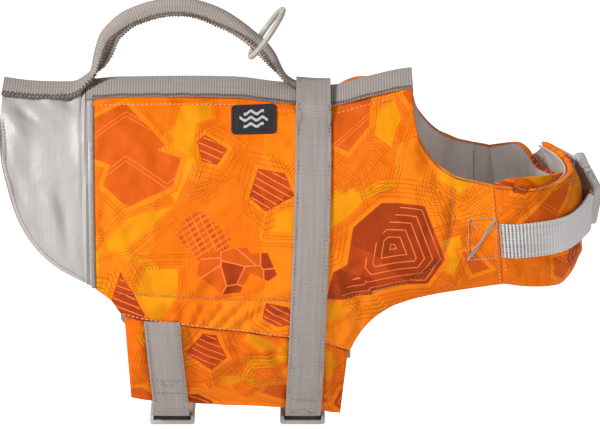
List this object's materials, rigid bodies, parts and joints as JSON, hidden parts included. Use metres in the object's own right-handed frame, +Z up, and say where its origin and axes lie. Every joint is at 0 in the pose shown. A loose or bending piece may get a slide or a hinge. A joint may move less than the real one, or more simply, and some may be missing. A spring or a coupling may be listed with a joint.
{
  "type": "dog life jacket",
  "caption": "Padded dog life jacket in its worn hollow form, with lift handle, back and belly straps, chest flaps and a swinging ring.",
  "frame": {"origin": "inner face of the lining on the spine at the middle of the back, where the wearer's back holds the jacket up", "axes": "+X towards the neck and chest, +Y to the wearer's left, +Z up"},
  "size_m": [0.4251, 0.1596, 0.302],
  "materials": {
    "nylon_print": "printed nylon in oranges",
    "nylon_silver": "silver-grey coated nylon",
    "lining_grey": "grey lining cloth",
    "webbing_grey": "ribbed polyester webbing",
    "acetal_grey": "satin moulded acetal",
    "rubber_black": "matt moulded rubber"
  },
  "bodies": {
    "vest": {"rear_panel_right": "nylon_silver", "rear_panel_left": "nylon_silver", "side_panel_right": "nylon_print", "side_panel_left": "nylon_print", "belly_flap_right": "nylon_print", "belly_flap_left": "nylon_print", "chest_flap_right": "nylon_print", "chest_flap_left": "nylon_print", "lining_side_right": "lining_grey", "lining_side_left": "lining_grey", "lining_chest_right": "lining_grey", "lining_chest_left": "lining_grey", "belly_tape_right": "webbing_grey", "belly_tape_left": "webbing_grey", "piping_right": "nylon_silver", "piping_left": "nylon_silver", "spine_band": "webbing_grey", "handle": "webbing_grey", "girth_strap": "webbing_grey", "rear_strap_right": "webbing_grey", "rear_strap_left": "webbing_grey", "chest_strap_right": "webbing_grey", "chest_strap_left": "webbing_grey", "belly_socket_front": "acetal_grey", "belly_plug_front": "acetal_grey", "belly_socket_rear": "acetal_grey", "belly_plug_rear": "acetal_grey", "chest_socket": "acetal_grey", "chest_plug": "acetal_grey", "label_patch": "rubber_black"},
    "ring": {"handle_ring": "acetal_grey"}
  },
  "joints": [
    {"name": "ring_swing", "type": "hinge", "parent": "vest", "child": "ring", "pos_m": [0.0378, 0, 0.0327], "axis": [0.8192, 0, -0.5736], "range_deg": [-100, 100]}
  ]
}
